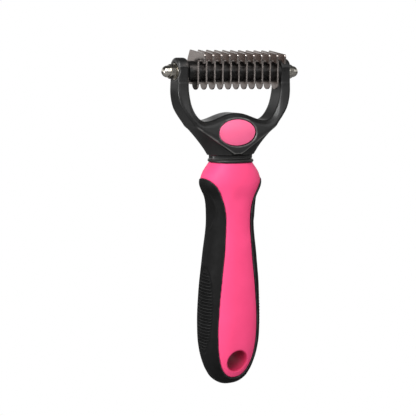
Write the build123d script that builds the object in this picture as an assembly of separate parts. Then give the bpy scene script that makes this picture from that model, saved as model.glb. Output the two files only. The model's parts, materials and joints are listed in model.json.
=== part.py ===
from build123d import *
from math import cos, pi, radians, sin
import os

# Undercoat rake: a two-material handle, a forked yoke and a pack of blades on a through rod.
# Millimetres. +Z runs along the handle towards the head, the blades' hooks point to -Y (the front)
# and the rod lies along X. The origin is the centre of the hanging hole in the handle's end.

# --- driving dimensions (heights are measured from the handle's lower end) -----------------
rod_height = 181.0            # rod axis above the handle's end
hole_height = 15.6            # hanging hole above the handle's end
hole_radius = 6.1
hole_rim = 1.0                # rounding of the hole's two mouths

# Handle: height, half width (X) and half depth (Y) of the grip's outer skin.
grip_stations = [
    (0.0, 3.6, 2.4),
    (1.6, 7.2, 5.0),
    (4.0, 10.4, 7.3),
    (8.0, 13.2, 9.4),
    (15.0, 16.1, 11.6),
    (24.0, 18.0, 13.0),
    (35.0, 18.7, 13.6),
    (55.0, 18.1, 13.3),
    (76.0, 15.9, 12.5),
    (98.0, 13.6, 11.9),
    (109.0, 14.7, 12.2),
    (118.5, 18.5, 12.9),
    (124.0, 17.1, 12.3),
    (130.0, 12.8, 11.0),
]
grip_squareness = 2.4         # superellipse exponent of the handle's sections
skin_step = 0.5               # the rubber stands this far proud of the hard core
rubber_thickness = 2.4
rubber_start = 4.0            # the hard core inside the rubber starts at this station

# Front (and back) panel of the hard core: its outline's turning points, right-hand side (X, Z),
# and the reach of its curves' handles.
panel_bottom = (0.0, 4.4)
panel_belly = (12.8, 34.0)
panel_waist = (8.1, 98.0)
panel_shoulder = (19.6, 120.9)
panel_bottom_reach = 9.0
panel_belly_reach = 16.0
panel_middle_reach = 24.0
panel_waist_reach = 9.0
panel_shoulder_reach = (7.1, 4.2)

# Collar between the handle and the yoke.
collar_bottom = 130.1
collar_top = 131.7
collar_half_width = 12.9
collar_half_depth = 11.2
collar_rounding = 0.3

# Yoke: right-hand outer outline in the front view (X, Z) and half depth in the side view (Y, Z).
yoke_bottom = 131.8
yoke_foot_half_width = 12.6
yoke_foot_half_depth = 9.8
yoke_recess_top = 134.2
yoke_shoulder = (14.9, 134.9)
yoke_shoulder_lean = (0.6, 1)        # direction in which the flank leaves the shoulder
yoke_flank = [
    (20.3, 142.4),
    (27.5, 151.6),
    (34.5, 160.8),
]
yoke_arm_start = (36.9, 170.0)
cone_head_half_width = 110.0         # the cone that rounds the foot opens to this above the arms
cone_head_half_depth = 70.0
shield_half_depth = 8.0
shield_bottom = 136.5
shield_top = 153.0
arm_depth_start = 166.0
depth_blend_reach = 6.0
arm_outer = 36.9              # arm's outer face from the middle
arm_inner = 30.0              # arm's inner face
arm_depth = 11.0
arm_top = 188.6
opening_valley = (19.5, 153.6)     # lowest point of the opening, each side
opening_hump = 158.0               # top of the crossbar in the middle
opening_shoulder = 171.0           # above this height the arms' inner faces are straight
tang_width = 12.0
tang_depth = 8.0
tang_bottom = 90.0
tang_clearance = 0.1
pin_height = 105.0
pin_radius = 1.5
pin_length = 22.0
pin_clearance = 0.02
pin_hole_extra = 10.0         # the pin's hole runs past both of its ends

# Oval badges in the yoke.
badge_height = 147.0
badge_half_width = 12.2
badge_half_height = 7.7
badge_floor = 6.6             # depth of the recess floor from the yoke's mid plane
badge_front = 8.5             # crown of the badge from the mid plane
badge_gap = 0.25
badge_rounding = 0.8

# Rod, nuts and washers (M4).
rod_radius = 2.0
rod_half_length = 42.0
rod_clearance = 0.05
rod_chamfer = 0.4
washer_radius = 4.5
washer_thickness = 0.8
washer_clearance = 0.15
counterbore_radius = 4.8
nut_across_flats = 7.0
nut_height = 7.4
nut_hex_height = 3.4
nut_dome_radius = 3.25
nut_corner_break = 0.45
nut_thread_spare = 0.4        # the threaded hole is this much deeper than the rod reaches
nut_gap = 0.1                 # running gap between a nut and its washer

# Blade pack.
blade_count = 11
blade_pitch = 5.2
blade_thickness = 1.0
blade_edge_break = 0.15
spacer_radius = 5.9
end_gap = 0.15                # running gap between the pack and each arm
tongue_front = -8.1
tongue_radius = 3.25
tongue_bottom = -9.9
hub_radius = 7.0

# Sizes that cutting tools and prisms run past the part by.
past = 10.0
prism_half_depth = 30.0
prism_half_width = 60.0
tang_overlap = 1.0            # the tang runs this far up into the yoke
hole_search = 0.5             # tolerance for finding the hole's mouths

handle_top = grip_stations[-1][0]
ORIGIN_SHIFT = Pos(0, 0, -hole_height)


# --- helpers -------------------------------------------------------------------------------
def superellipse(half_width, half_depth, height, exponent, points=24):
    """Closed smooth wire in the horizontal plane at the given height."""
    ring = []
    for i in range(points):
        angle = 2 * pi * (i + 0.5) / points
        c, s = cos(angle), sin(angle)
        x = half_width * abs(c) ** (2 / exponent) * (1 if c > 0 else -1)
        y = half_depth * abs(s) ** (2 / exponent) * (1 if s > 0 else -1)
        ring.append((x, y, height))
    return make_face(Spline(*ring, periodic=True))


def lofted(stations, exponent, inset=0.0):
    """Solid through superelliptic sections, each drawn in by inset."""
    sections = []
    for height, half_width, half_depth in stations:
        sections.append(superellipse(half_width - inset, half_depth - inset, height, exponent))
    return loft(sections)


def ellipse_block(half_width, half_height, near, far):
    """Elliptic cylinder along Y at the badge's height, from Y = near to Y = far."""
    outline = Plane.XZ * Ellipse(half_width, half_height)
    block = extrude(outline, amount=far - near)
    return Pos(0, far, badge_height) * block


def rod_along_x(radius, start, end):
    """Cylinder on the rod's axis from X = start to X = end."""
    return Pos((start + end) / 2, 0, rod_height) * Rot(0, 90, 0) * Cylinder(radius, end - start)


def ring_along_x(outer, inner, start, end):
    """Round bush on the rod's axis from X = start to X = end."""
    return rod_along_x(outer, start, end) - rod_along_x(inner, start, end)


# --- handle --------------------------------------------------------------------------------
def mirrored_prism(right_edges):
    """Prism along Y from the right-hand half of an outline that closes along X = 0."""
    half = make_face(right_edges)
    return extrude(Plane.XZ * (half + mirror(half, Plane.YZ)), amount=prism_half_depth, both=True)


def panel_prism():
    """The region of the hard core that shows at the front and the back, all the way through."""
    belly_x, belly_z = panel_belly
    waist_x, waist_z = panel_waist
    shoulder_x, shoulder_z = panel_shoulder
    lower = Bezier(
        panel_bottom,
        (panel_bottom_reach, panel_bottom[1]),
        (belly_x, belly_z - panel_belly_reach),
        panel_belly,
    )
    middle = Bezier(
        panel_belly,
        (belly_x, belly_z + panel_middle_reach),
        (waist_x, waist_z - panel_middle_reach),
        panel_waist,
    )
    upper = Bezier(
        panel_waist,
        (waist_x, waist_z + panel_waist_reach),
        (shoulder_x - panel_shoulder_reach[0], shoulder_z - panel_shoulder_reach[1]),
        panel_shoulder,
    )
    top = handle_top + past
    close_up = Polyline(panel_shoulder, (shoulder_x, top), (0, top), panel_bottom)
    return mirrored_prism(lower + middle + upper + close_up)


def handle_pieces():
    outer = lofted(grip_stations, grip_squareness)
    skin = lofted(grip_stations, grip_squareness, skin_step)
    buried = [s for s in grip_stations if s[0] >= rubber_start]
    inner = lofted(buried, grip_squareness, rubber_thickness)
    prism = panel_prism()
    core = skin & prism
    core = core + inner
    rubber = outer - prism - inner
    hole = Cylinder(hole_radius, 2 * prism_half_depth)
    core = core - Pos(0, 0, hole_height) * Rot(90, 0, 0) * hole
    core = soften_hole(core)
    core = core - tang_socket(tang_bottom - tang_clearance, handle_top + past)
    core = core - pin_solid(pin_clearance, pin_hole_extra)
    return core, rubber


def tang_socket(bottom, top):
    """The slot that the yoke's tang slides into."""
    slot = Box(tang_width + 2 * tang_clearance, tang_depth + 2 * tang_clearance, top - bottom)
    return Pos(0, 0, (bottom + top) / 2) * slot


def soften_hole(core):
    """Round the two mouths of the hanging hole."""
    mouths = []
    for edge in core.edges():
        middle = edge.center(CenterOf.BOUNDING_BOX)
        size = edge.bounding_box().size
        near_axis = abs(middle.X) < hole_search and abs(middle.Z - hole_height) < hole_search
        if near_axis and abs(size.X - 2 * hole_radius) < hole_search:
            mouths.append(edge)
    return fillet(mouths, hole_rim)


def pin_solid(extra_radius=0.0, extra_length=0.0):
    pin = Cylinder(pin_radius + extra_radius, pin_length + extra_length)
    return Pos(0, 0, pin_height) * Rot(0, 90, 0) * pin


def neck_collar():
    rim = (collar_half_width - collar_rounding, collar_half_depth - collar_rounding)
    lower = (collar_bottom, *rim)
    middle = ((collar_bottom + collar_top) / 2, collar_half_width, collar_half_depth)
    upper = (collar_top, *rim)
    ring = lofted([lower, middle, upper], grip_squareness)
    return ring - tang_socket(collar_bottom - past, collar_top + past)


# --- yoke ----------------------------------------------------------------------------------
def opening_prism():
    """The gap between the arms, above the crossbar."""
    top = arm_top + past
    crossbar = Spline(
        (0, opening_hump),
        opening_valley,
        (arm_inner, opening_shoulder),
        tangents=[(1, 0), (0, 1)],
    )
    side = Polyline((arm_inner, opening_shoulder), (arm_inner, top), (0, top), (0, opening_hump))
    return mirrored_prism(crossbar + side)


def yoke_front_view():
    """Prism of the yoke's outline as seen from the front."""
    flank = Spline(yoke_shoulder, *yoke_flank, yoke_arm_start, tangents=[yoke_shoulder_lean, (0, 1)])
    foot = Polyline(
        (0, yoke_bottom),
        (yoke_foot_half_width, yoke_bottom),
        (yoke_foot_half_width, yoke_recess_top),
        yoke_shoulder,
    )
    arm = Polyline(yoke_arm_start, (arm_outer, arm_top), (0, arm_top), (0, yoke_bottom))
    return mirrored_prism(foot + flank + arm)


def yoke_side_view():
    """Prism of the yoke's outline as seen from the side: deep shield, slimmer round-ended arms."""
    half_depth = arm_depth / 2
    round_centre = arm_top - half_depth
    blend = Bezier(
        (shield_half_depth, shield_top),
        (shield_half_depth, shield_top + depth_blend_reach),
        (half_depth, arm_depth_start - depth_blend_reach),
        (half_depth, arm_depth_start),
    )
    lower = Polyline(
        (0, yoke_bottom),
        (yoke_foot_half_depth, yoke_bottom),
        (shield_half_depth, shield_bottom),
        (shield_half_depth, shield_top),
    )
    arm_end = Line((half_depth, arm_depth_start), (half_depth, round_centre))
    arm_end = arm_end + RadiusArc((half_depth, round_centre), (0, arm_top), -half_depth)
    half = make_face(lower + blend + arm_end + Line((0, arm_top), (0, yoke_bottom)))
    return extrude(Plane.YZ * (half + mirror(half, Plane.YZ)), amount=prism_half_width, both=True)


def yoke_neck_cone():
    """Rounds the neck's corners and leaves the wider shield alone."""
    foot = superellipse(yoke_foot_half_width, yoke_foot_half_depth, yoke_bottom, grip_squareness)
    head = superellipse(cone_head_half_width, cone_head_half_depth, arm_top + past, grip_squareness)
    return loft([foot, head], ruled=True)


def yoke_frame():
    body = yoke_front_view() & yoke_side_view()
    body = body & yoke_neck_cone()
    body = body - opening_prism()
    tang_height = yoke_bottom - tang_bottom + tang_overlap
    tang = Box(tang_width, tang_depth, tang_height)
    body = body + Pos(0, 0, tang_bottom + tang_height / 2) * tang
    body = body - pin_solid(pin_clearance, pin_hole_extra)
    body = body - rod_along_x(rod_radius + rod_clearance, -prism_half_width, prism_half_width)
    for side in (-1, 1):
        start, end = sorted((side * (arm_outer - washer_thickness), side * (arm_outer + past)))
        body = body - rod_along_x(counterbore_radius, start, end)
        near, far = sorted((side * badge_floor, side * (badge_front + past)))
        body = body - ellipse_block(badge_half_width, badge_half_height, near, far)
    return body


def badge(side):
    """Domed oval that sits in the yoke's recess; side is -1 at the front and +1 at the back."""
    near, far = sorted((side * badge_floor, side * badge_front))
    half_width = badge_half_width - badge_gap
    half_height = badge_half_height - badge_gap
    oval = ellipse_block(half_width, half_height, near, far)
    outer_edges = oval.edges().filter_by(GeomType.ELLIPSE).sort_by(Axis.Y)
    rim = outer_edges[0] if side < 0 else outer_edges[-1]
    return fillet([rim], badge_rounding)


# --- rod, washers and nuts -----------------------------------------------------------------
def through_rod():
    rod = rod_along_x(rod_radius, -rod_half_length, rod_half_length)
    return chamfer(rod.edges().filter_by(GeomType.CIRCLE), rod_chamfer)


def washer(side):
    start, end = sorted((side * (arm_outer - washer_thickness), side * arm_outer))
    return ring_along_x(washer_radius, rod_radius + washer_clearance, start, end)


def acorn_nut(side):
    """Cap nut: a hexagon with broken corners, a short neck and a domed end."""
    corner_radius = nut_across_flats / 2 / cos(radians(30))
    hexagon = extrude(RegularPolygon(corner_radius, 6), amount=nut_hex_height)
    broken = Cylinder(corner_radius, nut_hex_height, align=(Align.CENTER, Align.CENTER, Align.MIN))
    broken = chamfer(broken.edges().filter_by(GeomType.CIRCLE), nut_corner_break)
    neck_height = nut_height - nut_dome_radius
    neck = Cylinder(nut_dome_radius, neck_height, align=(Align.CENTER, Align.CENTER, Align.MIN))
    dome = Pos(0, 0, neck_height) * Sphere(nut_dome_radius)
    nut = (hexagon & broken) + neck + dome
    thread_depth = rod_half_length - arm_outer - nut_gap + nut_thread_spare
    thread = Cylinder(
        rod_radius + rod_clearance, thread_depth, align=(Align.CENTER, Align.CENTER, Align.MIN)
    )
    nut = nut - thread
    return Pos(side * (arm_outer + nut_gap), 0, rod_height) * Rot(0, side * 90, 0) * nut


# --- blade pack ----------------------------------------------------------------------------
def blade_outline():
    """Side view of one blade about the rod: Y to the left of the sketch's X, Z up."""
    tongue_middle = tongue_front + tongue_radius
    tongue_centre = tongue_bottom + tongue_radius
    hook_top_back = (1.3, 12.1)
    hook_top_front = (-15.5, 9.8)
    hook_tip_front = (-15.2, 4.4)
    hook_tip_back = (-13.6, 4.6)
    hook_root = (-11.6, 6.6)
    throat = (tongue_front, 6.4)
    back = (4.9, 5.0)
    outline = make_face(
        Polyline(
            hook_top_back,
            hook_top_front,
            hook_tip_front,
            hook_tip_back,
            hook_root,
            throat,
            (tongue_front, tongue_centre),
            (tongue_front + 2 * tongue_radius, tongue_centre),
            back,
            close=True,
        )
    )
    outline = outline + Circle(hub_radius) + Pos(tongue_middle, tongue_centre) * Circle(tongue_radius)
    corners = [
        (hook_top_back, 0.8),
        (hook_top_front, 1.2),
        (hook_tip_front, 0.7),
        (hook_tip_back, 0.6),
        (hook_root, 1.2),
        (throat, 1.0),
    ]
    for point, radius in corners:
        corner = outline.vertices().sort_by_distance((point[0], point[1], 0))[0]
        outline = fillet([corner], radius)
    return outline - Circle(rod_radius + rod_clearance)


def blade_solid():
    """One blade, centred on X = 0, with its rims lightly broken."""
    plate = extrude(Plane.YZ * blade_outline(), amount=blade_thickness / 2, both=True)
    rims = plate.faces().sort_by(Axis.X)
    edges = rims[0].outer_wire().edges() + rims[-1].outer_wire().edges()
    plate = chamfer(edges, blade_edge_break)
    return Pos(0, 0, rod_height) * plate


def blade_x(index):
    return (index - (blade_count - 1) / 2) * blade_pitch


# --- assembly ------------------------------------------------------------------------------
def build():
    parts = {}
    parts["handle_core"], parts["grip_overmould"] = handle_pieces()
    parts["neck_collar"] = neck_collar()
    parts["yoke_frame"] = yoke_frame()
    parts["badge_front"] = badge(-1)
    parts["badge_back"] = badge(1)
    parts["tang_pin"] = pin_solid()
    parts["through_rod"] = through_rod()
    for side, word in ((-1, "left"), (1, "right")):
        parts[f"washer_{word}"] = washer(side)
        parts[f"acorn_nut_{word}"] = acorn_nut(side)
        inner_end = side * (blade_x(blade_count - 1) + blade_thickness / 2)
        outer_end = side * (arm_inner - end_gap)
        parts[f"end_spacer_{word}"] = ring_along_x(
            spacer_radius, rod_radius + rod_clearance, *sorted((inner_end, outer_end))
        )
    blade = blade_solid()
    for i in range(blade_count):
        parts[f"blade_{i + 1:02d}"] = Pos(blade_x(i), 0, 0) * blade
    for i in range(blade_count - 1):
        start = blade_x(i) + blade_thickness / 2
        end = blade_x(i + 1) - blade_thickness / 2
        parts[f"spacer_{i + 1:02d}"] = ring_along_x(spacer_radius, rod_radius + rod_clearance, start, end)
    return {name: ORIGIN_SHIFT * shape for name, shape in parts.items()}


def main():
    os.makedirs("parts", exist_ok=True)
    for name, shape in build().items():
        export_step(shape, os.path.join("parts", f"{name}.step"))
        print(name, round(shape.volume, 1))


main()
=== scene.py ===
import json
import math

import bmesh
import bpy
import numpy as np
from mathutils import Matrix, Vector


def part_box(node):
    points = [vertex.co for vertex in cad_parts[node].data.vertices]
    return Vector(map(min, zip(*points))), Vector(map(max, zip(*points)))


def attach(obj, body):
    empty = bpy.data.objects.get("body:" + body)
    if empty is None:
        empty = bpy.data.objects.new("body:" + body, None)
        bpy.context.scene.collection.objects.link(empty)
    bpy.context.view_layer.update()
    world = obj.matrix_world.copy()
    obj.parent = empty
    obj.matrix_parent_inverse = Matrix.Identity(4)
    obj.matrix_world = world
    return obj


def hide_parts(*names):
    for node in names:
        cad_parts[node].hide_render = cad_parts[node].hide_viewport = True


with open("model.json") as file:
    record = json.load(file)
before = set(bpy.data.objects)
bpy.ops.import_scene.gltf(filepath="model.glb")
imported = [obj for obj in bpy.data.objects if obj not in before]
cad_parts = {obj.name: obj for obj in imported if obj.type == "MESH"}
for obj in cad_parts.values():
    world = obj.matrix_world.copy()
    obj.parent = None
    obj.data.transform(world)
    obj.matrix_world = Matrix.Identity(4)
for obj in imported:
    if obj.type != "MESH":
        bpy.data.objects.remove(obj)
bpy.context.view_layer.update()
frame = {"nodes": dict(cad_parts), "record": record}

# Undercoat rake. The moulded pieces (handle core, rubber grip, collar, yoke and badges) are built
# here as smooth closed meshes around the fixed frame; the blades, spacers, rod, pin, washers and nuts
# are the frame's own nodes with detailed materials. Shapes are worked out in millimetres above the
# handle's lower end and laid into the frame in metres.
MM = 0.001
HANDLE_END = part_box("grip_overmould")[0].z


def height_of(z):
    """A height in the frame as millimetres above the handle's lower end."""
    return (z - HANDLE_END) / MM


def middle_height(node):
    low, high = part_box(node)
    return height_of((low.z + high.z) / 2)


def half_size(node, axis):
    """Half the size of a CAD node along one axis, in millimetres."""
    low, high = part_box(node)
    return (high[axis] - low[axis]) / 2 / MM


ROD_HEIGHT = middle_height("through_rod")
BADGE_HEIGHT = middle_height("badge_front")
BADGE_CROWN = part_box("badge_back")[1].y / MM
COLLAR_BOTTOM, COLLAR_TOP = (height_of(corner.z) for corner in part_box("neck_collar"))
COLLAR_HALF = (half_size("neck_collar", 0), half_size("neck_collar", 1))
ARM_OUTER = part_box("yoke_frame")[1].x / MM
ARM_TOP = height_of(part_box("yoke_frame")[1].z)
WASHER_INNER_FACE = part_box("washer_right")[0].x / MM


# --- numbers and curves --------------------------------------------------------------------
def bezier(p0, p1, p2, p3, steps=24):
    """Points along a cubic Bezier curve, without its last point."""
    t = np.linspace(0, 1, steps, endpoint=False)[:, None]
    p0, p1, p2, p3 = (np.array(p, float) for p in (p0, p1, p2, p3))
    return p0 * (1 - t) ** 3 + 3 * p1 * t * (1 - t) ** 2 + 3 * p2 * t ** 2 * (1 - t) + p3 * t ** 3


def smooth_value(stations, column, height):
    """A station column as a smooth function of height (cubic between stations), and its slope."""
    z = np.array([s[0] for s in stations], float)
    v = np.array([s[column] for s in stations], float)
    tangent = np.gradient(v, z)
    h = np.clip(height, z[0], z[-1])
    i = np.clip(np.searchsorted(z, h, side="right") - 1, 0, len(z) - 2)
    span = z[i + 1] - z[i]
    t = (h - z[i]) / span
    value = (
        v[i] * (2 * t ** 3 - 3 * t ** 2 + 1)
        + v[i + 1] * (3 * t ** 2 - 2 * t ** 3)
        + span * (tangent[i] * (t ** 3 - 2 * t ** 2 + t) + tangent[i + 1] * (t ** 3 - t ** 2))
    )
    slope = (
        (v[i + 1] - v[i]) * (6 * t - 6 * t ** 2) / span
        + tangent[i] * (3 * t ** 2 - 4 * t + 1)
        + tangent[i + 1] * (3 * t ** 2 - 2 * t)
    )
    return value, slope


def ease(low, high, value):
    """0 below low, 1 above high and a smooth step between."""
    t = np.clip((value - low) / (high - low), 0, 1)
    return t * t * (3 - 2 * t)


def outline_distance(points, u, v):
    """Signed distance in a plane to a closed outline: negative inside."""
    u, v = np.broadcast_arrays(u, v)
    nearest = np.full(u.shape, np.inf)
    inside = np.zeros(u.shape, bool)
    for (au, av), (bu, bv) in zip(points, np.roll(points, -1, axis=0)):
        eu, ev = bu - au, bv - av
        length = eu * eu + ev * ev
        if length < 1e-12:
            continue
        t = np.clip(((u - au) * eu + (v - av) * ev) / length, 0, 1)
        nearest = np.minimum(nearest, (u - au - t * eu) ** 2 + (v - av - t * ev) ** 2)
        if ev:
            crosses = (av > v) != (bv > v)
            inside ^= crosses & (u < (v - av) * eu / ev + au)
    return np.sqrt(nearest) * np.where(inside, -1, 1)


def mirrored(right_half):
    """A closed outline from its right-hand half, which runs from the middle line to the middle line."""
    right = np.array(right_half, float)
    return np.concatenate([right, right[::-1] * (-1, 1)])


# --- solids as fields: negative inside, positive outside, about a distance in millimetres -----
def both(a, b, radius=0.0):
    """What is inside a and b, with the edge between them rounded."""
    u, v = np.maximum(a + radius, 0), np.maximum(b + radius, 0)
    return np.minimum(np.maximum(a, b), -radius) + np.sqrt(u * u + v * v)


def either(a, b, radius=0.0):
    """What is inside a or b, with the corner between them filled."""
    return -both(-a, -b, radius)


def superelliptic(x, y, half_width, half_depth, width_slope, depth_slope, squareness):
    """Distance to a long solid whose level sections are superellipses."""
    ax, ay = np.abs(x) / half_width, np.abs(y) / half_depth
    g = np.maximum((ax ** squareness + ay ** squareness) ** (1 / squareness), 0.05)
    share = g ** (1 - squareness)
    gx = share * ax ** (squareness - 1) / half_width
    gy = share * ay ** (squareness - 1) / half_depth
    by_width = ax ** squareness * width_slope / half_width
    by_depth = ay ** squareness * depth_slope / half_depth
    gz = share * (by_width + by_depth)
    return (g - 1) / np.sqrt(gx * gx + gy * gy + gz * gz + 1e-9)


def lofted(stations, squareness, x, y, z):
    half_width, width_slope = smooth_value(stations, 1, z)
    half_depth, depth_slope = smooth_value(stations, 2, z)
    return superelliptic(x, y, half_width, half_depth, width_slope, depth_slope, squareness)


def block(x, y, z, half_width, half_depth, bottom, top):
    return np.maximum(
        np.maximum(np.abs(x) - half_width, np.abs(y) - half_depth), np.maximum(bottom - z, z - top)
    )


# --- from a field to a mesh ----------------------------------------------------------------
CORNERS = [(i, j, k) for i in (0, 1) for j in (0, 1) for k in (0, 1)]
CELL_EDGES = [
    (a, b)
    for a in range(8)
    for b in range(a + 1, 8)
    if sum(abs(p - q) for p, q in zip(CORNERS[a], CORNERS[b])) == 1
]


def surface_net(field, low, high, step):
    """Vertices and quads of the surface where the field is zero, one vertex in each crossed cell."""
    axes = [np.arange(a, b + s, s) for a, b, s in zip(low, high, step)]
    shape = [len(a) for a in axes]
    x, y, z = axes[0][:, None, None], axes[1][None, :, None], axes[2][None, None, :]
    value = np.broadcast_to(field(x, y, z), shape)
    inside = value < 0
    cells = [n - 1 for n in shape]
    corner_views = [tuple(slice(c, c + n) for c, n in zip(corner, cells)) for corner in CORNERS]
    count = sum(inside[view].astype(np.int8) for view in corner_views)
    crossed = (count > 0) & (count < 8)
    where = np.argwhere(crossed)
    numbers = np.full(cells, -1)
    numbers[crossed] = np.arange(len(where))
    corner_values = np.stack([value[view][crossed] for view in corner_views], axis=1)
    total, hits = np.zeros((len(where), 3)), np.zeros(len(where))
    for a, b in CELL_EDGES:
        va, vb = corner_values[:, a], corner_values[:, b]
        cut = (va < 0) != (vb < 0)
        t = np.where(cut, va / np.where(cut, va - vb, 1), 0)[:, None]
        at = np.array(CORNERS[a]) * (1 - t) + np.array(CORNERS[b]) * t
        total += at * cut[:, None]
        hits += cut
    points = np.array([a[0] for a in axes]) + (where + total / hits[:, None]) * np.array(step)
    quads = []
    for axis in range(3):
        p, q = [n for n in range(3) if n != axis]
        first = [slice(1, -1)] * 3
        first[axis] = slice(0, -1)
        second = list(first)
        second[axis] = slice(1, None)
        leaving = inside[tuple(first)] & ~inside[tuple(second)]
        entering = ~inside[tuple(first)] & inside[tuple(second)]
        for flag, order in ((leaving, (0, 1, 2, 3)), (entering, (3, 2, 1, 0))):
            at = np.argwhere(flag)
            at[:, p] += 1
            at[:, q] += 1
            ring = []
            for dp, dq in ((-1, -1), (0, -1), (0, 0), (-1, 0)):
                cell = at.copy()
                cell[:, p] += dp
                cell[:, q] += dq
                ring.append(numbers[tuple(cell.T)])
            ring = np.stack([ring[n] for n in order], axis=1)
            quads.append(ring[:, ::-1] if axis == 1 else ring)
    return points, np.concatenate(quads)


def onto_surface(field, points, most, rounds=2):
    """Slides the vertices along the field's slope onto its zero surface, by at most a little."""
    reach = 0.02
    for _ in range(rounds):
        value = field(*points.T)
        slope = np.stack(
            [
                (field(*(points + d).T) - field(*(points - d).T)) / (2 * reach)
                for d in np.eye(3) * reach
            ],
            axis=1,
        )
        size = np.maximum((slope * slope).sum(1), 0.05)
        move = np.clip(value / size, -most, most)[:, None] * slope
        points = points - move
    return points


def relaxed(points, quads, rounds=3):
    """Evens out the mesh: every vertex moves to the middle of its neighbours."""
    for _ in range(rounds):
        total, hits = np.zeros_like(points), np.zeros(len(points))
        for a, b in ((0, 1), (1, 2), (2, 3), (3, 0)):
            for here, there in ((quads[:, a], quads[:, b]), (quads[:, b], quads[:, a])):
                np.add.at(total, here, points[there])
                np.add.at(hits, here, 1)
        points = total / hits[:, None]
    return points


def mark_edges(mesh, points, quads):
    """Stores how far each vertex stands out over its neighbours, in millimetres, as "rise"; the
    materials paint edge highlights by it.
    """
    normals = np.empty(3 * len(points))
    mesh.vertices.foreach_get("normal", normals)
    outward = normals.reshape(-1, 3)
    rise = ((points - relaxed(points, quads, 1)) * outward).sum(1)
    smooth_rise = relaxed(rise[:, None], quads, 2)[:, 0]
    mesh.attributes.new("rise", "FLOAT", "POINT").data.foreach_set("value", smooth_rise)


def new_piece(name, points, faces, body, node):
    """A smooth-shaded mesh from points in millimetres above the handle's end, on its CAD body."""
    mesh = bpy.data.meshes.new(name)
    placed = np.asarray(points, float) * MM + (0, 0, HANDLE_END)
    mesh.from_pydata(placed.tolist(), [], [list(map(int, f)) for f in faces])
    mesh.validate()
    mesh.shade_smooth()
    piece = bpy.data.objects.new(name, mesh)
    bpy.context.scene.collection.objects.link(piece)
    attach(piece, body)
    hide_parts(node)
    return piece


def moulded(name, field, reach, bottom, top, step, node):
    """A moulded piece of the handle body from its field, sampled out to reach and bottom to top."""
    points, quads = surface_net(field, (-reach[0], -reach[1], bottom), (*reach, top), step)
    points = onto_surface(field, relaxed(points, quads), 0.5 * min(step))
    piece = new_piece(name, points, quads, "handle", node)
    mark_edges(piece.data, points, quads)
    return piece


# --- handle --------------------------------------------------------------------------------
# Height, half width and half depth of the grip's outer skin.
GRIP_STATIONS = [
    (0.0, 3.4, 2.3),
    (1.6, 7.0, 4.9),
    (4.0, 10.3, 7.2),
    (8.0, 13.1, 9.3),
    (15.0, 16.0, 11.5),
    (24.0, 18.0, 13.0),
    (35.0, 18.7, 13.6),
    (55.0, 18.1, 13.3),
    (76.0, 15.9, 12.5),
    (98.0, 13.6, 11.9),
    (109.0, 14.7, 12.2),
    (118.5, 18.5, 12.9),
    (124.0, 17.1, 12.3),
    (130.0, 12.8, 11.0),
]
GRIP_SQUARENESS = 2.4
GRIP_TOP = GRIP_STATIONS[-1][0]
END_ROUNDING = 1.2
SKIN_STEP = 0.5               # the rubber stands this far proud of the hard core
RUBBER_THICKNESS = 2.4
SEAM_GAP = 0.24
EDGE_ROUNDING = 0.45
HOLE_RADIUS = 6.1
HOLE_HEIGHT = -HANDLE_END / MM
HOLE_RIM = 1.1

# Right-hand half of the coloured panel, (x, height).
PANEL_BOTTOM = (0.0, 5.1)
PANEL_BELLY = (12.8, 34.0)
PANEL_WAIST = (8.1, 98.0)
PANEL_SHOULDER = (19.6, 122.6)
PANEL_TOP = 150.0             # past the grip's top
PANEL = mirrored(
    np.concatenate(
        [
            bezier(PANEL_BOTTOM, (9.0, 5.1), (12.8, 18.0), PANEL_BELLY),
            bezier(PANEL_BELLY, (12.8, 58.0), (8.1, 74.0), PANEL_WAIST),
            bezier(PANEL_WAIST, (8.1, 107.0), (12.5, 118.0), PANEL_SHOULDER),
            [PANEL_SHOULDER, (PANEL_SHOULDER[0], PANEL_TOP), (0.0, PANEL_TOP)],
        ]
    )
)

# Ribbed field on each side of the rubber.
RIB_PITCH = 1.85
RIB_DEPTH = 1.1
RIB_MIDDLE = 45.0
RIB_HALF_HEIGHT = 24.5
RIB_HALF_DEPTH = 7.2
RIB_SHIFT = -1.0              # the field sits this far forward of the middle
RIB_FADE = (0.86, 1.0)        # the ribs run out between these shares of the field
RIB_BORDER = 0.045            # width of the groove round the field, as a share of it
RIB_SHARPNESS = 0.8

# Raised crescent on the upper rubber and thumb hollow on the coloured shoulder.
CRESCENT_MIDDLE = 103.0
CRESCENT_RADIUS = 16.2
CRESCENT_CENTRE = 10.2        # its centre lies behind the middle, so it bulges to the front
CRESCENT_HEIGHT = 0.4
CRESCENT_WIDTH = 0.8
CRESCENT_ENDS = (8.0, 13.5)   # it runs out between these heights above and below its middle
THUMB_MIDDLE = (2.0, 100.0)
THUMB_SIZE = (11.5, 18.5)
THUMB_DEPTH = 0.35
THUMB_FADE = (0.55, 1.0)

COLLAR_ROUNDING = 0.55
SOCKET_HALF = (6.1, 4.1)      # the slot that the yoke's tang goes through
CUTTER_PAST = 5.0


def grip_skin(x, y, z, inset=0.0):
    """The grip's outer skin or a surface inside it, with a rounded lower end and the same flat top."""
    skin = lofted(GRIP_STATIONS, GRIP_SQUARENESS, x, y, z) + inset
    skin = both(skin, inset - z, END_ROUNDING)
    return both(skin, z - GRIP_TOP, SKIN_STEP)


def ribs(x, y, z):
    """How deep the rib grooves are cut: rounded ridges inside a lens-shaped field on each side."""
    across = np.sqrt(((y - RIB_SHIFT) / RIB_HALF_DEPTH) ** 2 + ((z - RIB_MIDDLE) / RIB_HALF_HEIGHT) ** 2)
    inside = 1 - ease(*RIB_FADE, across)
    wave = 0.5 - 0.5 * np.cos(2 * np.pi * (z - RIB_MIDDLE) / RIB_PITCH)
    border = np.exp(-((across - 1.0) / RIB_BORDER) ** 2)
    return RIB_DEPTH * inside * wave ** RIB_SHARPNESS + 0.5 * RIB_DEPTH * border


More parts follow.
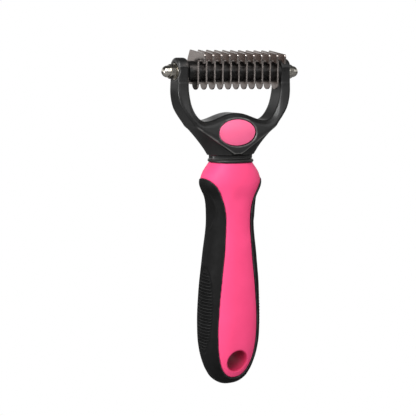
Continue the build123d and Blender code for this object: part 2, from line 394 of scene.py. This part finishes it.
def crescent(x, y, z):
    """Height of the raised crescent line on the upper rubber."""
    away = np.hypot(y - CRESCENT_CENTRE, z - CRESCENT_MIDDLE) - CRESCENT_RADIUS
    ends = 1 - ease(*CRESCENT_ENDS, np.abs(z - CRESCENT_MIDDLE))
    return CRESCENT_HEIGHT * np.exp(-(away / CRESCENT_WIDTH) ** 2) * ends * (y < CRESCENT_CENTRE)


def thumb_hollow(x, y, z):
    """Depth of the thumb hollow at the front."""
    across = np.hypot((x - THUMB_MIDDLE[0]) / THUMB_SIZE[0], (z - THUMB_MIDDLE[1]) / THUMB_SIZE[1])
    return THUMB_DEPTH * (1 - ease(*THUMB_FADE, across)) * (y < 0)


def rubber_grip(x, y, z):
    skin = grip_skin(x, y, z)
    outside = skin + ribs(x, y, z) - crescent(x, y, z)
    beside_panel = SEAM_GAP / 2 - outline_distance(PANEL, x, z)
    rubber = both(outside, beside_panel, EDGE_ROUNDING)
    return both(rubber, -(skin + RUBBER_THICKNESS))


def handle_core(x, y, z):
    skin = grip_skin(x, y, z)
    face = grip_skin(x, y, z, SKIN_STEP) + thumb_hollow(x, y, z)
    panel = both(face, outline_distance(PANEL, x, z) + SEAM_GAP / 2, EDGE_ROUNDING)
    core = either(panel, skin + RUBBER_THICKNESS + SEAM_GAP / 4)
    bore = HOLE_RADIUS - np.hypot(x, z - HOLE_HEIGHT)
    return both(core, bore, HOLE_RIM)


def neck_collar(x, y, z):
    """Thin flange between the handle and the yoke, with softly rounded rims."""
    half_height = (COLLAR_TOP - COLLAR_BOTTOM) / 2
    middle = (COLLAR_TOP + COLLAR_BOTTOM) / 2
    rim = superelliptic(x, y, *COLLAR_HALF, 0, 0, GRIP_SQUARENESS)
    flange = both(rim, np.abs(z - middle) - half_height, COLLAR_ROUNDING)
    socket = block(x, y, z, *SOCKET_HALF, COLLAR_BOTTOM - CUTTER_PAST, COLLAR_TOP + CUTTER_PAST)
    return both(flange, -socket)


# --- yoke ----------------------------------------------------------------------------------
YOKE_BOTTOM = COLLAR_TOP + 0.1
STEM_TOP = 134.2              # above this the yoke stands out over its narrow stem
STEM_HALF = (13.5, 6.5)
# Height, half width of the outer outline and half depth of the round neck that flares into the arms.
YOKE_STATIONS = [
    (134.6, 14.9, 7.5),
    (137.8, 17.2, 7.8),
    (140.1, 19.0, 8.4),
    (142.4, 20.9, 9.4),
    (144.7, 22.8, 11.1),
    (147.0, 24.6, 14.0),
    (149.3, 26.1, 21.0),
    (151.6, 27.6, 40.0),
    (156.2, 31.3, 60.0),
    (160.8, 34.5, 60.0),
    (165.4, 36.2, 60.0),
    (170.0, ARM_OUTER, 60.0),
    (174.6, ARM_OUTER, 60.0),
    (200.0, ARM_OUTER, 60.0),
]
# The shield in front of and behind the neck: a V with a narrow flat chin.
SHIELD = mirrored(
    [(0.0, 134.9), (2.4, 134.9), (25.8, 149.9), (40.0, 159.0), (40.0, 175.0), (0.0, 175.0)]
)
YOKE_SQUARENESS = 2.2
ARM_DEPTH = 5.5               # half depth of the arms
# Height and half depth of the yoke in the side view.
DEPTHS = [
    (131.0, 8.7),
    (136.0, 8.6),
    (151.0, 7.7),
    (157.0, 7.1),
    (164.0, 6.0),
    (170.0, ARM_DEPTH),
    (190.0, ARM_DEPTH),
]
ARM_INNER = 30.0
ARM_ROUND_HEIGHT = ARM_TOP - ARM_DEPTH
OUTER_ROUNDING = 1.6
RIDGE_ROUNDING = 0.35
NECK_FILL = 0.2               # fills the corner between the neck and the shield
CHIN_ROUNDING = 0.4
STEM_ROUNDING = 0.3
LIP_WIDTH = 2.6               # bevel round the opening at the crossbar
LIP_NARROWING = 1.8           # and this much less along the arms
LIP_FADE = (155.0, 168.0)     # between these heights
LIP_ROUNDING = 0.6
OPENING = mirrored(
    np.concatenate(
        [
            bezier((0.0, 158.0), (8.0, 158.0), (13.0, 153.6), (19.6, 153.5), 16),
            bezier((19.6, 153.5), (24.6, 153.4), (ARM_INNER, 162.0), (ARM_INNER, 172.5), 16),
            [(ARM_INNER, 172.5), (ARM_INNER, 210.0), (0.0, 210.0)],
        ]
    )
)
COUNTERBORE_RADIUS = 4.8
COUNTERBORE_ROUNDING = 0.35
ROD_HOLE_RADIUS = 2.05
TANG_HALF = (6.0, 4.0)
TANG_BOTTOM = 90.0
BADGE_RECESS = (12.2, 7.7)
BADGE_RECESS_ROUNDING = 0.45
BADGE_FLOOR = 6.6
BADGE_GAP = 0.3
BADGE_SAGITTA = 0.95
BADGE_RIM = 0.5


def bevelled(a, b, width, radius):
    """What is inside a and b, with their edge cut to a bevel whose own edges are rounded."""
    slant = (a + b + width) * math.sqrt(0.5)
    return both(both(a, slant, radius), both(b, slant, radius))


def side_outline(y, z):
    """Distance to the yoke's outline in the side view, with round arm ends."""
    half_depth, slope = smooth_value(DEPTHS, 1, z)
    flat = (np.abs(y) - half_depth) / np.sqrt(1 + slope * slope)
    return np.where(z > ARM_ROUND_HEIGHT, np.hypot(y, z - ARM_ROUND_HEIGHT) - ARM_DEPTH, flat)


def oval(x, z, half_width, half_height):
    return superelliptic(x, z - BADGE_HEIGHT, half_width, half_height, 0, 0, 2.0)


def yoke(x, y, z):
    half_width, slope = smooth_value(YOKE_STATIONS, 1, z)
    flank = (np.abs(x) - half_width) / np.sqrt(1 + slope * slope)
    side = side_outline(y, z)
    neck = both(lofted(YOKE_STATIONS, YOKE_SQUARENESS, x, y, z), side, OUTER_ROUNDING)
    shield = both(both(flank, side, OUTER_ROUNDING), outline_distance(SHIELD, x, z), RIDGE_ROUNDING)
    body = either(neck, shield, NECK_FILL)
    body = both(body, STEM_TOP - z, CHIN_ROUNDING)
    lip = LIP_WIDTH - LIP_NARROWING * ease(*LIP_FADE, z)
    body = bevelled(body, -outline_distance(OPENING, x, z), lip, LIP_ROUNDING)
    stem = both(
        superelliptic(x, y, *STEM_HALF, 0, 0, GRIP_SQUARENESS),
        np.maximum(YOKE_BOTTOM - z, z - STEM_TOP - 2),
        STEM_ROUNDING,
    )
    body = either(body, stem, STEM_ROUNDING)
    recess = np.maximum(oval(x, z, *BADGE_RECESS), BADGE_FLOOR - np.abs(y))
    body = both(body, -recess, BADGE_RECESS_ROUNDING)
    around_rod = np.hypot(y, z - ROD_HEIGHT)
    washer_seat = np.maximum(around_rod - COUNTERBORE_RADIUS, WASHER_INNER_FACE - np.abs(x))
    body = both(body, -washer_seat, COUNTERBORE_ROUNDING)
    body = both(body, ROD_HOLE_RADIUS - around_rod)
    tang = block(x, y, z, *TANG_HALF, TANG_BOTTOM, YOKE_BOTTOM + 2)
    return either(body, tang)


def badge(name, side, node):
    """A domed oval set in the yoke's recess; side is -1 at the front and 1 at the back."""
    half_width, half_height = BADGE_RECESS[0] - BADGE_GAP, BADGE_RECESS[1] - BADGE_GAP
    rim_steps, dome_steps, turn = 6, 14, 96
    profile = [(0.0, BADGE_FLOOR), (0.9, BADGE_FLOOR), (1.0, BADGE_FLOOR + 0.08)]
    for i in range(rim_steps + 1):
        angle = math.radians(90 * i / rim_steps)
        inward = BADGE_RIM * (1 - math.cos(angle)) / half_height
        profile.append((1 - inward, BADGE_CROWN - BADGE_SAGITTA - BADGE_RIM * (1 - math.sin(angle))))
    start = profile[-1][0]
    for i in range(1, dome_steps + 1):
        s = start * (1 - i / dome_steps)
        profile.append((s, BADGE_CROWN - BADGE_SAGITTA * (s / start) ** 2))
    points, faces = [], []
    for share, depth in profile:
        for j in range(turn):
            angle = 2 * math.pi * j / turn
            across, up = half_width * share * math.cos(angle), half_height * share * math.sin(angle)
            points.append((across, side * depth, BADGE_HEIGHT + up))
    for ring in range(len(profile) - 1):
        for j in range(turn):
            a, b = ring * turn + j, ring * turn + (j + 1) % turn
            quad = [a, b, b + turn, a + turn]
            faces.append(quad[::-1] if side > 0 else quad)
    piece = new_piece(name, points, faces, "handle", node)
    weld(piece)
    return piece


def weld(piece, distance=1e-6):
    """Joins vertices that share a place, so that the mesh is closed."""
    mesh = bmesh.new()
    mesh.from_mesh(piece.data)
    bmesh.ops.remove_doubles(mesh, verts=mesh.verts, dist=distance)
    bmesh.ops.recalc_face_normals(mesh, faces=mesh.faces)
    mesh.to_mesh(piece.data)
    mesh.free()
    piece.data.shade_smooth()


# --- materials -----------------------------------------------------------------------------
class Surface:
    """A procedural material built node by node around one shader."""

    def __init__(self, name, colour, roughness, **constants):
        self.material = bpy.data.materials.new(name)
        self.material.use_nodes = True
        self.tree = self.material.node_tree
        self.shader = self.tree.nodes["Principled BSDF"]
        self.shader.inputs["Base Color"].default_value = (*colour, 1)
        self.shader.inputs["Roughness"].default_value = roughness
        for socket, value in constants.items():
            self.shader.inputs[socket.replace("_", " ")].default_value = value
        self.place = self.add("ShaderNodeTexCoord").outputs["Object"]
        self.relief = None

    def add(self, kind, **settings):
        node = self.tree.nodes.new(kind)
        for key, value in settings.items():
            setattr(node, key, value)
        return node

    def link(self, source, target):
        self.tree.links.new(source, target)

    def noise(self, size_mm, detail=3.0, stretch=(1, 1, 1)):
        """Noise whose features are about size_mm across, before stretching."""
        mapping = self.add("ShaderNodeMapping")
        mapping.inputs["Scale"].default_value = stretch
        self.link(self.place, mapping.inputs["Vector"])
        noise = self.add("ShaderNodeTexNoise")
        noise.inputs["Scale"].default_value = 1 / (size_mm * MM)
        noise.inputs["Detail"].default_value = detail
        self.link(mapping.outputs["Vector"], noise.inputs["Vector"])
        return noise.outputs["Fac"]

    def ramp(self, factor, stops):
        node = self.add("ShaderNodeValToRGB")
        elements = node.color_ramp.elements
        while len(elements) < len(stops):
            elements.new(0.5)
        for element, (position, colour) in zip(elements, stops):
            element.position = position
            element.color = (*colour, 1)
        self.link(factor, node.inputs["Fac"])
        return node.outputs["Color"]

    def mottle(self, size_mm, dark, light, stretch=(1, 1, 1)):
        """Slow colour variation between two shades."""
        colour = self.ramp(self.noise(size_mm, 4.0, stretch), [(0.3, dark), (0.7, light)])
        self.link(colour, self.shader.inputs["Base Color"])
        return colour

    def edges(self, base, painted_highlight, start, full):
        """Paints highlights into the colour along convex edges, by their rise in millimetres."""
        rise = self.add("ShaderNodeAttribute", attribute_name="rise").outputs["Fac"]
        mask = self.ramp(rise, [(start, (0, 0, 0)), (full, (1, 1, 1))])
        mix = self.add("ShaderNodeMix", data_type="RGBA")
        self.link(mask, mix.inputs["Factor"])
        self.link(base, mix.inputs["A"])
        mix.inputs["B"].default_value = (*painted_highlight, 1)
        self.link(mix.outputs["Result"], self.shader.inputs["Base Color"])

    def shade_bore(self, base, deep, radius_mm, full_radius_mm):
        """Paints shade into the colour inside the bore along Y through the frame's origin."""
        flat = self.add("ShaderNodeVectorMath", operation="MULTIPLY")
        flat.inputs[1].default_value = (1, 0, 1)
        self.link(self.place, flat.inputs[0])
        away = self.add("ShaderNodeVectorMath", operation="LENGTH")
        self.link(flat.outputs["Vector"], away.inputs[0])
        mask = self.add("ShaderNodeMapRange")
        mask.inputs["From Min"].default_value = radius_mm * MM
        mask.inputs["From Max"].default_value = full_radius_mm * MM
        self.link(away.outputs["Value"], mask.inputs["Value"])
        mix = self.add("ShaderNodeMix", data_type="RGBA")
        self.link(mask.outputs["Result"], mix.inputs["Factor"])
        mix.inputs["A"].default_value = (*deep, 1)
        self.link(base, mix.inputs["B"])
        self.link(mix.outputs["Result"], self.shader.inputs["Base Color"])

    def rub(self, size_mm, low, high, stretch=(1, 1, 1)):
        """Roughness that wanders between two values."""
        spread = self.add("ShaderNodeMapRange")
        spread.inputs["To Min"].default_value = low
        spread.inputs["To Max"].default_value = high
        spread.inputs["From Min"].default_value = 0.3
        spread.inputs["From Max"].default_value = 0.7
        self.link(self.noise(size_mm, 3.0, stretch), spread.inputs["Value"])
        self.link(spread.outputs["Result"], self.shader.inputs["Roughness"])

    def bump(self, size_mm, height_mm, strength=1.0, stretch=(1, 1, 1), detail=2.0):
        """Adds fine relief; calls add up."""
        bump = self.add("ShaderNodeBump")
        bump.inputs["Distance"].default_value = height_mm * MM
        bump.inputs["Strength"].default_value = strength
        self.link(self.noise(size_mm, detail, stretch), bump.inputs["Height"])
        if self.relief is not None:
            self.link(self.relief, bump.inputs["Normal"])
        self.relief = bump.outputs["Normal"]
        self.link(self.relief, self.shader.inputs["Normal"])


def pink_plastic():
    s = Surface("pink_plastic", (0.82, 0.066, 0.195), 0.5, Specular_IOR_Level=0.15)
    colour = s.mottle(14.0, (0.8, 0.062, 0.186), (0.84, 0.07, 0.205))
    # painted shade inside the hanging hole's bore
    s.shade_bore(colour, (0.42, 0.02, 0.07), HOLE_RADIUS + 0.2, HOLE_RADIUS + HOLE_RIM)
    s.rub(6.0, 0.45, 0.55)
    s.bump(9.0, 0.03)
    s.bump(0.5, 0.004)
    return s.material


def badge_plastic():
    s = Surface("badge_plastic", (0.84, 0.125, 0.265), 0.34, Specular_IOR_Level=0.5)
    s.mottle(9.0, (0.82, 0.12, 0.255), (0.86, 0.13, 0.28))
    s.rub(4.0, 0.3, 0.38)
    s.bump(0.5, 0.004)
    return s.material


def black_rubber():
    s = Surface("black_rubber", (0.0045, 0.0045, 0.0045), 0.6, Specular_IOR_Level=0.12)
    colour = s.mottle(7.0, (0.0035, 0.0035, 0.0035), (0.006, 0.006, 0.0062))
    # painted highlights along the rubber's convex edges and rib crests
    s.edges(colour, (0.045, 0.045, 0.045), 0.025, 0.1)
    s.rub(3.0, 0.5, 0.68)
    s.bump(0.35, 0.02)
    s.bump(4.0, 0.02)
    return s.material


def black_plastic():
    s = Surface("black_plastic", (0.012, 0.012, 0.012), 0.36, Specular_IOR_Level=0.42)
    colour = s.mottle(10.0, (0.007, 0.007, 0.007), (0.011, 0.011, 0.011))
    # painted highlights along the yoke's and collar's ridges and rims
    s.edges(colour, (0.2, 0.196, 0.19), 0.022, 0.085)
    s.rub(5.0, 0.28, 0.38)
    s.bump(0.4, 0.012)
    s.bump(6.0, 0.02)
    return s.material


def spacer_plastic():
    s = Surface("spacer_plastic", (0.005, 0.005, 0.005), 0.3, Specular_IOR_Level=0.35)
    s.mottle(3.0, (0.004, 0.004, 0.004), (0.007, 0.007, 0.007))
    s.rub(2.0, 0.25, 0.4)
    s.bump(0.3, 0.01)
    return s.material


def blade_steel():
    s = Surface("blade_steel", (0.5, 0.445, 0.42), 0.22, Metallic=1.0)
    s.mottle(5.0, (0.45, 0.4, 0.375), (0.55, 0.49, 0.465), (1, 0.3, 1))
    s.rub(0.6, 0.14, 0.26, (1, 0.06, 1))
    s.bump(0.25, 0.006, stretch=(1, 0.05, 1))
    return s.material


def bright_nickel():
    s = Surface("bright_nickel", (0.6, 0.57, 0.51), 0.14, Metallic=1.0)
    s.mottle(2.5, (0.55, 0.52, 0.46), (0.65, 0.62, 0.56))
    s.rub(1.5, 0.1, 0.2)
    s.bump(0.5, 0.004)
    return s.material


def plain_steel():
    s = Surface("plain_steel", (0.55, 0.54, 0.52), 0.3, Metallic=1.0)
    s.mottle(2.5, (0.5, 0.49, 0.47), (0.6, 0.59, 0.57))
    s.rub(1.0, 0.24, 0.38, (0.1, 1, 1))
    s.bump(0.3, 0.004, stretch=(0.1, 1, 1))
    return s.material


MATERIALS = {
    "pink_plastic": pink_plastic(),
    "badge_plastic": badge_plastic(),
    "black_rubber": black_rubber(),
    "black_plastic": black_plastic(),
    "spacer_plastic": spacer_plastic(),
    "blade_steel": blade_steel(),
    "bright_nickel": bright_nickel(),
    "plain_steel": plain_steel(),
}


def finish_with(piece, material):
    piece.data.materials.clear()
    piece.data.materials.append(MATERIALS[material])


def dress_frame_nodes():
    """Gives every CAD node the material of its slot in the record."""
    for entry in frame["record"]["subparts"]:
        finish_with(frame["nodes"][entry["node"]], entry["material_slot"])


# --- studio --------------------------------------------------------------------------------
CAMERA_AZIMUTH = math.radians(-30.0)
CAMERA_ELEVATION = math.radians(7.81)
CAMERA_ROLL = math.radians(0.60)
CAMERA_DISTANCE = 0.650
CAMERA_TARGET = Vector((0, 0, 0.0814))
CAMERA_ASIDE = -0.01255       # view-plane offset to the right
CAMERA_ABOVE = 0.00608        # view-plane offset upwards
CAMERA_LENS = 97.93
SENSOR = 36.0
FLOOR_DROP = 0.20             # the floor lies this far under the object
FLOOR_RADIUS = 6.0
FLOOR_BOUNCE = 0.25
# How bright the surroundings are in reflections, by the sine of the height above eye level.
WALL_LIGHT = [(0.0, 0.35), (0.06, 1.0), (0.26, 1.0), (0.5, 0.08)]
FRONT_WALL = 0.45             # share of that on the front side
FRONT_TO_BACK = (-0.9, 0.3)   # the share rises to 1 between these values of the direction's Y


def camera():
    a, e = CAMERA_AZIMUTH, CAMERA_ELEVATION
    back = Vector((math.sin(a) * math.cos(e), -math.cos(a) * math.cos(e), math.sin(e)))
    right = Vector((math.cos(a), math.sin(a), 0))
    up = back.cross(right)
    place = CAMERA_TARGET + back * CAMERA_DISTANCE + right * CAMERA_ASIDE + up * CAMERA_ABOVE
    data = bpy.data.cameras.new("camera")
    data.lens = CAMERA_LENS
    data.sensor_width = SENSOR
    data.dof.use_dof = False
    eye = bpy.data.objects.new("camera", data)
    bpy.context.scene.collection.objects.link(eye)
    turned = Matrix((right, up, back)).transposed().to_4x4() @ Matrix.Rotation(CAMERA_ROLL, 4, "Z")
    eye.matrix_world = Matrix.Translation(place) @ turned
    bpy.context.scene.camera = eye


def softbox(name, azimuth, elevation, distance, size, power):
    """A square area light that faces the middle of the object."""
    data = bpy.data.lights.new(name, "AREA")
    data.shape = "SQUARE"
    data.size = size
    data.energy = power
    lamp = bpy.data.objects.new(name, data)
    bpy.context.scene.collection.objects.link(lamp)
    a, e = math.radians(azimuth), math.radians(elevation)
    back = Vector((math.sin(a) * math.cos(e), -math.cos(a) * math.cos(e), math.sin(e)))
    lamp.location = CAMERA_TARGET + back * distance
    lamp.rotation_mode = "QUATERNION"
    lamp.rotation_quaternion = back.to_track_quat("Z", "Y")


def seen_directly(tree):
    """1 for what the camera sees straight on and 0 for reflections and bounced light."""
    return tree.nodes.new("ShaderNodeLightPath").outputs["Is Camera Ray"]


def surroundings():
    """White to look at; in reflections a white band at eye height under a dark ceiling."""
    world = bpy.data.worlds.new("studio")
    bpy.context.scene.world = world
    world.use_nodes = True
    tree = world.node_tree
    split = tree.nodes.new("ShaderNodeSeparateXYZ")
    tree.links.new(tree.nodes.new("ShaderNodeTexCoord").outputs["Generated"], split.inputs["Vector"])
    by_height = tree.nodes.new("ShaderNodeValToRGB")
    stops = by_height.color_ramp.elements
    while len(stops) < len(WALL_LIGHT):
        stops.new(0.5)
    for stop, (height, light) in zip(stops, WALL_LIGHT):
        stop.position, stop.color = height, (light, light, light, 1)
    tree.links.new(split.outputs["Z"], by_height.inputs["Fac"])
    front_to_back = tree.nodes.new("ShaderNodeMapRange")
    limits = (*FRONT_TO_BACK, FRONT_WALL, 1.0)
    for socket, value in zip(("From Min", "From Max", "To Min", "To Max"), limits):
        front_to_back.inputs[socket].default_value = value
    tree.links.new(split.outputs["Y"], front_to_back.inputs["Value"])
    lit = tree.nodes["Background"]
    tree.links.new(by_height.outputs["Color"], lit.inputs["Color"])
    tree.links.new(front_to_back.outputs["Result"], lit.inputs["Strength"])
    plain = tree.nodes.new("ShaderNodeBackground")
    plain.inputs["Color"].default_value = (1, 1, 1, 1)
    mix = tree.nodes.new("ShaderNodeMixShader")
    tree.links.new(seen_directly(tree), mix.inputs[0])
    tree.links.new(lit.outputs[0], mix.inputs[1])
    tree.links.new(plain.outputs[0], mix.inputs[2])
    tree.links.new(mix.outputs[0], tree.nodes["World Output"].inputs["Surface"])


def pale_floor():
    """A plain floor well below the object: white to look at, dim in the object's reflections."""
    bpy.ops.mesh.primitive_circle_add(vertices=96, radius=FLOOR_RADIUS, fill_type="NGON")
    floor = bpy.context.active_object
    floor.name = "floor"
    floor.location = (0, 0, HANDLE_END - FLOOR_DROP)
    pale = Surface("pale_floor", (FLOOR_BOUNCE, FLOOR_BOUNCE, FLOOR_BOUNCE), 0.8)
    tree = pale.tree
    glow = pale.add("ShaderNodeEmission")
    mix = pale.add("ShaderNodeMixShader")
    pale.link(seen_directly(tree), mix.inputs[0])
    pale.link(pale.shader.outputs[0], mix.inputs[1])
    pale.link(glow.outputs[0], mix.inputs[2])
    pale.link(mix.outputs[0], tree.nodes["Material Output"].inputs["Surface"])
    floor.data.materials.append(pale.material)


def studio():
    surroundings()
    pale_floor()
    softbox("key", azimuth=-48, elevation=34, distance=1.8, size=1.2, power=40.0)
    softbox("front", azimuth=10, elevation=34, distance=1.9, size=2.0, power=17.0)
    softbox("low", azimuth=-85, elevation=-4, distance=1.2, size=0.3, power=4.0)
    bpy.context.scene.view_settings.view_transform = "Standard"


# --- assembly ------------------------------------------------------------------------------
# Half sizes of the boxes that the fields are sampled in.
GRIP_REACH = (19.6, 14.6)
COLLAR_REACH = (14, 12.2)
YOKE_REACH = (ARM_OUTER + 1, 9.6)


dress_frame_nodes()
grip = moulded(
    "rubber_grip", rubber_grip, GRIP_REACH, -1, 121.5, (0.42, 0.42, 0.3), "grip_overmould"
)
core = moulded(
    "coloured_core", handle_core, GRIP_REACH, 0, GRIP_TOP + 1, (0.45, 0.45, 0.45),
    "handle_core",
)
collar = moulded(
    "collar", neck_collar, COLLAR_REACH, COLLAR_BOTTOM - 1, COLLAR_TOP + 1, (0.4, 0.4, 0.2),
    "neck_collar",
)
head = moulded(
    "yoke", yoke, YOKE_REACH, TANG_BOTTOM - 1, ARM_TOP + 1, (0.42, 0.42, 0.42),
    "yoke_frame",
)
front_badge = badge("front_badge", -1, "badge_front")
back_badge = badge("back_badge", 1, "badge_back")
for piece, material in (
    (grip, "black_rubber"),
    (core, "pink_plastic"),
    (collar, "black_plastic"),
    (head, "black_plastic"),
    (front_badge, "badge_plastic"),
    (back_badge, "badge_plastic"),
):
    finish_with(piece, material)
camera()
studio()

bpy.context.view_layer.update()
